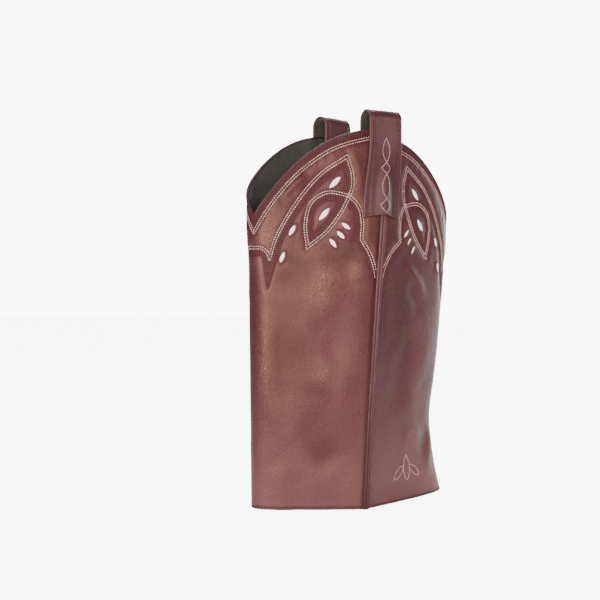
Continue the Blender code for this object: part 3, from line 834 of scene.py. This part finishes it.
def suede(name, dark, light):
    """Napped suede: matt, cloudy where the nap has been brushed one way or the other."""
    material, tree, shader, at = new_finish(name, 0.92, specular=0.2, sheen=0.25)
    fill(tree, shader, {"Sheen Roughness": 0.5})
    nap = noise(tree, at, 1500.0, 3.0, 0.7)["Fac"]
    brushed = noise(tree, at, 38.0, 4.0, distortion=0.6)["Fac"]
    colour = blend_colours(tree, remap(tree, brushed, 0.34, 0.66), dark, light)
    raised = remap(tree, nap, 0.35, 0.65, high=0.5)
    colour = blend_colours(tree, raised, colour, tuple(1.5 * c for c in light))
    dress(tree, shader, colour, nap, 0.5, 0.0003)
    return material


lining_suede = suede("grey_suede", (0.0165, 0.0175, 0.0150), (0.028, 0.029, 0.025))

for panel in ("back", "front"):
    across = around_panel(LINING_COLUMNS)
    up = np.linspace(0.0, 1.0, LINING_ROWS + 1)[:, None]
    level = LINING_FOOT + up * (panel_top(panel, across) - LINING_FOOT)
    where = np.repeat(across[None, :], len(level), axis=0)
    seam_gap = from_seam(where)
    allowance = SEAM_ALLOWANCE * ease(seam_gap, 7.0, 8.5) * (1.0 - ease(seam_gap, 60.0, 90.0))
    piece = shell_piece(panel + "_suede_lining", panel, where, level, LINING_IN + allowance, LINING_OUT,
                        lining_suede)
    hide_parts(panel + "_lining")
    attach(piece, "root")

# ---------------------------------------------------------------- the rim beads
# The rim is closed by a narrow rolled strip of the leather, glued and pressed round: it leaves a
# rosy grey edge, slightly crowned.  Its profile is (out of the panel's face, below the rim).
BEAD_PROFILE = ((-2.8, 1.58), (-2.92, 0.75), (-2.86, 0.28), (-2.5, -0.06), (-1.9, -0.24),
                (-1.3, -0.29), (-0.7, -0.2), (-0.2, 0.02), (0.12, 0.35), (0.2, 0.8), (0.02, 1.58),
                (-0.9, 1.58), (-1.9, 1.58))
BEAD_STATIONS = 257


def ring_quads(count, size):
    """Faces between rings of that many points."""
    return [[r * size + i, r * size + (i + 1) % size, (r + 1) * size + (i + 1) % size, (r + 1) * size + i]
            for r in range(count - 1) for i in range(size)]


def swept_piece(name, rings, material):
    """A closed bar through equal rings of points, capped at both ends."""
    count, size = rings.shape[:2]
    caps = [list(range(size)), [(count - 1) * size + i for i in range(size)]]
    return new_piece(name, rings.reshape(-1, 3), ring_quads(count, size) + caps, material)


bead_leather = leather(
    "rosy_rim_edge", (0.022, 0.0060, 0.0105), (0.034, 0.0110, 0.0160), (0.060, 0.025, 0.028), 1100.0, 0.2,
    (0.4, 0.55), specular=0.25)

for panel in ("back", "front"):
    across = around_panel(BEAD_STATIONS)[:, None]
    outs, belows = np.array(BEAD_PROFILE).T
    heights = rim(panel, across, belows) + 0.05 * ripple(across * 210.0 + 40.0, 0.0 * across, 5.0, 31)
    piece = swept_piece(panel + "_rolled_rim", on_panel(panel, across, heights, outs), bead_leather)
    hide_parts(panel + "_rim_bead")
    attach(piece, "root")

# ---------------------------------------------------------------- the side welts
# A folded strip of the leather is sewn into each side seam and stands out as two soft beads with a
# groove between.  Under the pull strap it is skived thin.
GAP = 0.3
WELT_FLANGE = 0.62
WELT_GROOVE = 0.85
# One bead, and what lies under it: round from the seam, out of the panel
WELT_PROFILE = ((2.75, 0.35), (2.95, 0.8), (2.8, 1.35), (2.4, 1.8), (1.85, 2.05), (1.3, 2.0), (0.8, 1.7),
                (0.4, 1.25), (0.0, WELT_GROOVE))
WELT_UNDER = ((2.6, GAP), (1.3, GAP), (WELT_FLANGE, GAP), (WELT_FLANGE, -LEATHER))
# What is left of its thickness: height, share
WELT_PARED = ((0.0, 1.0), (233.0, 1.0), (242.0, 0.6), (250.0, 0.3), (298.5, 0.3))
WELT_HEIGHTS = np.concatenate(([0.25, 0.45], np.linspace(0.9, 233.0, 118), np.linspace(235.0, 298.5, 30)))
welt_leather = leather(
    "burgundy_piping", (0.030, 0.0072, 0.0112), (0.048, 0.0132, 0.0180), (0.085, 0.035, 0.032), 900.0, 0.2,
    (0.32, 0.42), tint=(1.0, 0.70, 0.60), specular=0.42)

for side in ("outer", "inner"):
    heights = WELT_HEIGHTS[:, None]
    pare = np.interp(heights, *np.array(WELT_PARED).T)
    waver = 0.14 * ripple(heights + 10.0, 0.0 * heights, 9.0, 41) * pare
    parts = []
    for panel in ("back", "front"):
        for profile in (WELT_PROFILE, WELT_UNDER):
            rounds, outs = np.array(profile).T[:, None, :]
            rounds = np.where(rounds > WELT_FLANGE, WELT_FLANGE + (rounds - WELT_FLANGE) * pare, rounds)
            outs = np.where(outs > GAP, GAP + (outs - GAP) * pare * (1.0 + 0.5 * waver), outs)
            rounds = rounds + np.where(rounds > 1.2, waver, 0.0)
            parts.append(on_panel(panel, across_at(side, rounds / RIM_HALF_WIDTH), heights, outs))
    top_back, under_back, top_front, under_front = parts
    rings = np.concatenate((top_back, top_front[:, -2::-1], under_front, under_back[:, ::-1]), axis=1)
    piece = swept_piece(side + "_piping", rings, welt_leather)
    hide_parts(side + "_welt")
    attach(piece, "root")

# ---------------------------------------------------------------- the pull straps
# Two straps of doubled leather, sewn down outside and inside over the side seams, with a loop above
# the rim to pull the shaft on by.  Their grey backs show inside the loops.
STRAP_WIDTH, STRAP_FLARE, STRAP_THICK = 29.6, 4.2, 2.0
STRAP_HALF = 0.5 * STRAP_WIDTH
STRAP_APEX = {"outer": 322.0, "inner": 328.0}
STRAP_FOOT = {"outer": 234.5, "inner": 239.5}       # where the outside leg ends, at its edges
STRAP_TAIL = {"outer": 256.0, "inner": 261.0}       # and the inside one
STRAP_ARCH = 2.5
STRAP_HUMP, STRAP_HUMP_REACH = 2.3, 7.0             # where the outside leg goes over the welt
STRAP_LOOP = 9.0                                    # the loop's outer radius
STRAP_SPRING = {side: apex - STRAP_LOOP for side, apex in STRAP_APEX.items()}
STRAP_STAND_OFF = {"outer": 4.0, "inner": 3.0}
STRAP_SHIFT = -1.0
STRAP_TWIST = {"outer": 0.0, "inner": 15.0}
# A leg comes away from the panel between these heights above its foot
STRAP_LET_GO = {"outside": (10.0, 62.0), "inside": (2.0, 40.0)}
STRAP_ROWS = {"outside": 78, "inside": 56}
BORDER_ROW = 3.9                # the border stitching, in from each edge


def strap_foot(side, where, across):
    """Height of a leg's lower end, arched outside; across goes from -1 to 1."""
    if where == "outside":
        return STRAP_FOOT[side] + STRAP_ARCH * (1.0 - across ** 2)
    return STRAP_TAIL[side] + 0.0 * across


def free_strap(side, across, height, out):
    """The strap where it stands free: straight across, square to the loop."""
    twist = math.radians(STRAP_TWIST[side])
    sideways = np.array([math.cos(twist), math.sin(twist)])
    upright = np.array([-sideways[1], sideways[0]]) * (-1.0 if side == "outer" else 1.0)
    across, height, out = np.broadcast_arrays(across, height, out)
    first = SECTION_COLUMNS.index(side + "_x")
    middle = sections_at(height.ravel())[:, first:first + 2] + (STRAP_SHIFT, 0.0)
    middle = middle.reshape(*height.shape, 2)
    flat = middle + out[..., None] * upright + (STRAP_HALF * across)[..., None] * sideways
    return np.concatenate((flat, height[..., None]), axis=-1)


def strap_leg(side, where, height, across, depth):
    """Points of a leg of the strap: across from -1 to 1, depth down from the loop's outer face."""
    height, across, depth = np.broadcast_arrays(height, across, depth)
    outer_leg = STRAP_STAND_OFF[side] + STRAP_THICK
    if where == "outside":
        hump_at = np.minimum(np.abs(across) * STRAP_HALF / STRAP_HUMP_REACH, 1.0)
        sewn_out = GAP + STRAP_HUMP * 0.5 * (1.0 + np.cos(math.pi * hump_at)) + STRAP_THICK - depth
        free_out = outer_leg - depth
    else:
        sewn_out = LINING_IN - GAP - STRAP_THICK + depth
        free_out = outer_leg - 2.0 * STRAP_LOOP + depth
    share = across_at(side, np.abs(across) * 0.5 * (STRAP_WIDTH + STRAP_FLARE) / RIM_HALF_WIDTH)
    sewn = np.where((across < 0.0)[..., None], on_panel("back", share, height, sewn_out),
                    on_panel("front", share, height, sewn_out))
    let_go = ease(height - strap_foot(side, where, across), *STRAP_LET_GO[where])[..., None]
    return sewn + let_go * (free_strap(side, across, height, free_out) - sewn)


def strap_arc(side, angle, across, depth):
    """Points of the loop over the top: angle 0 is at the outside leg."""
    angle, across, depth = np.broadcast_arrays(angle, across, depth)
    radius = STRAP_LOOP - depth
    out = STRAP_STAND_OFF[side] + STRAP_THICK - STRAP_LOOP + radius * np.cos(angle)
    points = free_strap(side, across, STRAP_SPRING[side], out)
    points[..., 2] = STRAP_SPRING[side] + radius * np.sin(angle)
    return points


def strap_ring():
    """The strap's rounded section as (across in mm, depth): pressed top, edge, underside, edge."""
    half = STRAP_HALF
    flat = np.linspace(-(half - 0.7), half - 0.7, 53)
    pressed = (0.42 * hill(np.abs(np.abs(flat) - (half - BORDER_ROW)), 0.75)
               - 0.16 * hill(np.abs(flat) - half + 1.8, 1.6))
    middle = 0.12 * np.cos(np.clip(flat / (half - BORDER_ROW), -1, 1) * math.pi / 2)
    top = np.column_stack((flat, 0.16 + pressed - middle))
    edge = np.array([(half - 0.32, 0.28), (half - 0.08, 0.6), (half, 1.0), (half - 0.08, 1.4),
                     (half - 0.3, 1.75)])
    under = np.column_stack((np.linspace(half - 0.7, -(half - 0.7), 15), np.full(15, STRAP_THICK)))
    return np.concatenate((top, edge, under, edge[::-1] * (-1.0, 1.0))), len(top), len(edge), len(under)


strap_leather = leather(
    "burgundy_strap", (0.027, 0.0070, 0.0125), (0.039, 0.0115, 0.0182), (0.062, 0.026, 0.027), 700.0, 0.2,
    (0.36, 0.50), reads=(("cut", (0.090, 0.040, 0.036), 0.7),), tint=(1.0, 0.70, 0.62), specular=0.32)

for side in ("outer", "inner"):
    profile, top_count, edge_count, under_count = strap_ring()
    across, depth = profile[:, 0] / STRAP_HALF, profile[:, 1]
    legs = {}
    for where, rows in STRAP_ROWS.items():      # each foot's edge is pressed thin
        foot = strap_foot(side, where, across)
        up = np.concatenate(([0.0, 0.0025, 0.006], np.linspace(0.012, 1.0, rows)))[:, None]
        squeeze = np.concatenate(([0.62, 0.86, 0.97], np.ones(rows)))[:, None]
        level = foot + (STRAP_SPRING[side] - foot) * up
        legs[where] = strap_leg(side, where, level, across, 1.0 + (depth - 1.0) * squeeze)
    arc = strap_arc(side, np.linspace(0.0, math.pi, 34)[1:-1, None], across, depth)
    rings = np.concatenate((legs["outside"], arc, legs["inside"][::-1]))
    piece = swept_piece(side + "_strap", rings, strap_leather)
    size = len(profile)
    cut = np.zeros(rings.shape[:2])
    cut[:, top_count - 1:top_count + edge_count + 1] = cut[:, size - edge_count - 1:] = cut[:, 0:1] = 1.0
    cut[0:2] = cut[-2:] = 1.0
    keep_attribute(piece, "cut", cut)
    piece.data.materials.append(lining_suede)
    at = np.arange(len(piece.data.polygons)) % size
    backs = (at >= top_count + edge_count) & (at < top_count + edge_count + under_count - 1)
    piece.data.polygons.foreach_set("material_index", backs.astype(np.int32))
    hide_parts(side + "_pull_strap")
    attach(piece, "root")

# ---------------------------------------------------------------- the almond inlays
# Small almonds of white kid lie under windows cut in the shaft leather, seven on each quarter, and
# their middles swell a little through the windows.
INLAY_AROUND = 28
# From the hidden foot to the crown: each ring's share of the outline, and how far it stands out
INLAY_RINGS = ((1.04, -0.2), (1.0, 0.16), (0.86, 0.42), (0.66, 0.58), (0.36, 0.68), (0.0, 0.72))


def white_kid(name):
    """Bleached kid: nearly white, matt, with faint warm clouds and fine grain."""
    material, tree, shader, at = new_finish(name, 0.55, specular=0.6, sheen=0.5)
    skin = grained(tree, at, 1500.0, 260.0)
    colour = blend_colours(tree, skin["Clouds"], (1.0, 0.985, 0.935), (0.96, 0.93, 0.86))
    dress(tree, shader, colour, skin["Height"], 0.2, 0.0002)
    return material


def almond_outline(length, width, around):
    """Half-length along, half-width across of an almond with pointed ends, anticlockwise."""
    turn = np.linspace(0.0, 2.0 * math.pi, around, endpoint=False)
    along = np.cos(turn)
    return 0.5 * length * along, 0.5 * width * np.sign(np.sin(turn)) * (1.0 - along ** 2) ** 0.85


def inlay_points(panel, side, round_at, up, length, width, lean):
    """Rings of an inlay's points, ending in the one at its crown."""
    cos, sin = math.cos(math.radians(lean)), math.sin(math.radians(lean))
    outline = almond_outline(length, width, INLAY_AROUND)
    for reach, out in INLAY_RINGS:
        a, s = (reach * half[:INLAY_AROUND if reach else 1] for half in outline)
        share = (round_at - a * cos + s * sin) / RIM_HALF_WIDTH
        height = up + a * sin + s * cos + pattern_rise(panel, share, side)
        yield on_panel(panel, across_at(side, share), height, out)


inlay_leather = white_kid("white_kid_leather")
inlay_faces = ring_quads(len(INLAY_RINGS) - 1, INLAY_AROUND)
last_ring = (len(INLAY_RINGS) - 2) * INLAY_AROUND
inlay_faces += [[last_ring + i, last_ring + (i + 1) % INLAY_AROUND, last_ring + INLAY_AROUND]
                for i in range(INLAY_AROUND)]
inlay_faces.append(list(range(INLAY_AROUND)))

for panel in ("back", "front"):
    for side in ("outer", "inner"):
        for number, row in enumerate(INLAYS + LOW_INLAYS[panel], 1):
            points = np.concatenate(list(inlay_points(panel, side, *row)))
            piece = new_piece(f"{panel}_{side}_almond_{number}", points, inlay_faces, inlay_leather, 40.0)
            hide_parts(f"{panel}_{side}_inlay_{number}")
            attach(piece, "root")

# ---------------------------------------------------------------- the stitching
# Everything is lock-stitched in waxed thread: cream boot stitching in double rows with cherry red
# rows beside it, a row round the hem, border rows and a chain on the straps, and a leaf sprig.
# One Geometry Nodes tree lays a stitch at every pitch along drawn rows, turned to lie on the leather.
stitching, rows_in, stitches_end = new_group(
    "stitching", "GeometryNodeTree",
    (("Rows", "Geometry"), ("Pitch", "Float"), ("Stitch length", "Float"), ("Thread width", "Float"),
     ("Thread height", "Float"), ("Seed", "Int"), ("Thread", "Material")), (("Stitches", "Geometry"),))


def sewing(kind, inputs=(), output=0, **settings):
    """The output of a new node in the stitching tree."""
    return add_node(stitching, kind, inputs, **settings).outputs[output]


curve = sewing("GeometryNodeMeshToCurve", {"Mesh": rows_in["Rows"]})
paced = sewing("GeometryNodeResampleCurve", {"Curve": curve, "Length": rows_in["Pitch"]}, mode="LENGTH")
tangent = sewing("GeometryNodeInputTangent")
outwards = sewing("GeometryNodeInputNamedAttribute", {"Name": "outwards"}, data_type="FLOAT_VECTOR")
along_row = sewing("FunctionNodeAlignRotationToVector", {"Vector": tangent}, axis="X")
upright = sewing("FunctionNodeAlignRotationToVector", {"Rotation": along_row, "Vector": outwards},
                 axis="Z", pivot_axis="X")
bead = sewing("GeometryNodeMeshUVSphere", {"Segments": 6, "Rings": 4, "Radius": 0.5})
stitch_size = sewing("ShaderNodeCombineXYZ", {"X": rows_in["Stitch length"], "Y": rows_in["Thread width"],
                                              "Z": rows_in["Thread height"]})
pulled = sewing("FunctionNodeRandomValue", {"Min": (0.92, 0.9, 0.85), "Max": (1.05, 1.1, 1.1),
                                            "Seed": rows_in["Seed"]}, data_type="FLOAT_VECTOR")
scaled = vector_maths(stitching, "MULTIPLY", stitch_size, pulled)
laid = sewing("GeometryNodeInstanceOnPoints", {"Points": paced, "Instance": bead, "Rotation": upright,
                                               "Scale": scaled})
worn = sewing("FunctionNodeRandomValue", {"Seed": rows_in["Seed"]}, output=1, data_type="FLOAT")
marked = add_node(stitching, "GeometryNodeStoreNamedAttribute", {"Geometry": laid, "Name": "worn"},
                  data_type="FLOAT", domain="INSTANCE")
value_in = next(socket for socket in marked.inputs if socket.name == "Value" and socket.enabled)
stitching.links.new(worn, value_in)
real = sewing("GeometryNodeRealizeInstances", {"Geometry": marked.outputs[0]})
dressed = sewing("GeometryNodeSetMaterial", {"Geometry": real, "Material": rows_in["Thread"]})
fill(stitching, stitches_end, {"Stitches": dressed})


def thread(name, dark, light):
    """Waxed polyester thread: each stitch a little paler or dirtier, with the twist's fine ribs."""
    material, tree, shader, at = new_finish(name, 0.5, specular=0.45)
    twist = noise(tree, at, 4200.0, 1.0)["Fac"]
    share = maths(tree, "ADD", maths(tree, "MULTIPLY", stored(tree, "worn"), 0.7),
                  maths(tree, "MULTIPLY", twist, 0.4))
    dress(tree, shader, blend_colours(tree, share, dark, light), twist, 0.4, 0.0001)
    return material


THREADS = {"cream": thread("cream_thread", (0.350, 0.210, 0.180), (0.680, 0.490, 0.410)),
           "red": thread("cherry_thread", (0.060, 0.005, 0.014), (0.130, 0.014, 0.032))}


def sew(name, rows, colour, seed, width, high, pitch=2.0, length=1.75):
    """Stitches along rows of (points, outward directions), in millimetres, as one plain mesh."""
    points, outs = (np.concatenate(parts) for parts in zip(*rows))
    starts = np.cumsum([0] + [len(places) for places, _ in rows])
    edges = [(i, i + 1) for start, end in zip(starts[:-1], starts[1:]) for i in range(start, end - 1)]
    drawn = bpy.data.meshes.new(name + "_rows")
    drawn.from_pydata((points * MM).tolist(), edges, [])
    directions = drawn.attributes.new("outwards", "FLOAT_VECTOR", "POINT")
    directions.data.foreach_set("vector", outs.astype(np.float32).ravel())
    guide = add_object(name + "_rows", drawn)
    machine = guide.modifiers.new("stitching", "NODES")
    machine.node_group = stitching
    sockets = {item.name: item.identifier for item in stitching.interface.items_tree
               if item.in_out == "INPUT"}
    for label, value in (("Pitch", pitch * MM), ("Stitch length", length * MM), ("Thread width", width * MM),
                         ("Thread height", high * MM), ("Seed", seed), ("Thread", THREADS[colour])):
        machine[sockets[label]] = value
    made = bpy.data.meshes.new_from_object(guide.evaluated_get(bpy.context.evaluated_depsgraph_get()))
    bpy.data.objects.remove(guide)
    made.name = name
    made.shade_smooth()
    piece = add_object(name, made)
    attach(piece, "root")


def on_leather(panel, across, height, lift):
    """Points on a panel's stitched face, with the direction out of it."""
    out = panel_relief(panel, across, height) + lift
    points = on_panel(panel, across, height, out)
    return points, on_panel(panel, across, height, out + 1.0) - points


# Each boot-stitch thread: colour, lift off the leather, seed, and its stitches' sizes
BOOT_THREADS = (("cream", 0.14, 7, {"width": 0.92, "high": 0.7}),
                ("red", 0.04, 17, {"width": 0.74, "high": 0.5, "length": 1.5}))
HEM_POINTS, HEM_INSET = 220, 3.6

for panel in ("back", "front"):
    for lines, (colour, lift, seed, sizes) in zip(QUARTER_ROWS[panel], BOOT_THREADS):
        rows = []
        for side in ("outer", "inner"):
            for line in lines:
                share = np.clip(line[:, 0], 1.2, RIM_HALF_WIDTH) / RIM_HALF_WIDTH
                height = line[:, 1] + pattern_rise(panel, share, side)
                rows.append(on_leather(panel, across_at(side, share), height, lift))
        sew(f"{panel}_{colour}_boot_stitching", rows, colour, seed, **sizes)
    across = np.linspace(HEM_INSET, 2.0 * RIM_HALF_WIDTH - HEM_INSET, HEM_POINTS) / RIM_HALF_WIDTH
    hem_row = on_leather(panel, across, np.full(HEM_POINTS, HEM_ROW), 0.04)
    sew(panel + "_hem_stitching", [hem_row], "red", 27, 0.6, 0.5, pitch=2.4, length=1.9)


def on_strap(side, where, height, across, lift):
    """Points on a strap's outer face, with the direction out of it."""
    points = strap_leg(side, where, height, across, -lift)
    out = points - strap_leg(side, where, height, across, 1.0)
    return points, out / np.linalg.norm(out, axis=-1, keepdims=True)


BORDER_SINK = 0.45              # the border rows lie this deep in the strap

for side in ("outer", "inner"):
    edge = 1.0 - BORDER_ROW / STRAP_HALF
    spring, tail = STRAP_SPRING[side], STRAP_TAIL[side] + BORDER_ROW
    rows = []
    for across in (-edge, edge):
        foot = float(strap_foot(side, "outside", np.array(across))) + BORDER_ROW
        outside = on_strap(side, "outside", np.linspace(foot, spring, 60), across, -BORDER_SINK)
        angles = np.linspace(0.0, math.pi, 26)[1:-1]
        over = strap_arc(side, angles, across, BORDER_SINK)
        over_out = over - strap_arc(side, angles, across, 1.5)
        inside = on_strap(side, "inside", np.linspace(spring, tail, 44), across, -BORDER_SINK)
        rows.append([np.concatenate(parts) for parts in zip(outside, (over, over_out), inside)])
    across = np.linspace(-edge, edge, 25)
    foot = strap_foot(side, "outside", across) + BORDER_ROW - 0.6
    rows.append(on_strap(side, "outside", foot, across, 0.02))
    rows.append(on_strap(side, "inside", np.full(25, tail), across, 0.02))
    sew(side + "_strap_border_stitching", rows, "red", 37, 0.6, 0.5)


def oval(t):
    return np.sin(math.pi * t) ** 0.9


def diamond(t):
    return 1.0 - np.abs(2.0 * t - 1.0)


# Touching ovals and diamonds down the outside leg: top, bottom, width, and how its sides bow out
CHAIN = ((297.8, 279.1, 6.2, oval), (279.1, 269.7, 6.9, diamond), (269.7, 249.9, 4.8, oval),
         (249.9, 238.9, 6.4, diamond))
for side in ("outer", "inner"):
    rows = []
    for top, bottom, width, bow in CHAIN:
        for turn in (-0.5, 0.5):
            t = np.linspace(0.0, 1.0, 14)
            height = top + (bottom - top) * t + STRAP_FOOT[side] - STRAP_FOOT["outer"]
            rows.append(on_strap(side, "outside", height, turn * width * bow(t) / STRAP_HALF, -0.02))
    sew(side + "_strap_chain_stitching", rows, "cream", 47, 0.62, 0.55, pitch=1.55, length=1.35)

# A plain leaf sprig marks the foot of the front panel's outer quarter: x, z, length, width, lean
SPRIG_ROUND, SPRIG_HEIGHT = 50.5, 28.5
SPRIG_LEAVES = ((0.0, -1.0, 21.0, 8.4, 90.0), (-10.5, -4.0, 16.5, 6.0, 38.0), (10.5, -4.0, 16.5, 6.0, 142.0))
rows = []
for x, z, length, width, lean in SPRIG_LEAVES:
    along, sideways = almond_outline(length, width, 40)
    cos, sin = math.cos(math.radians(lean)), math.sin(math.radians(lean))
    loop = np.column_stack((x + along * cos - sideways * sin, z + along * sin + sideways * cos))
    across, height = np.vstack((loop, loop[:1])).T
    rows.append(on_leather("front", (SPRIG_ROUND + across) / RIM_HALF_WIDTH, SPRIG_HEIGHT + height, 0.1))
sew("front_leaf_sprig_stitching", rows, "cream", 57, 0.6, 0.5, pitch=1.55, length=1.4)
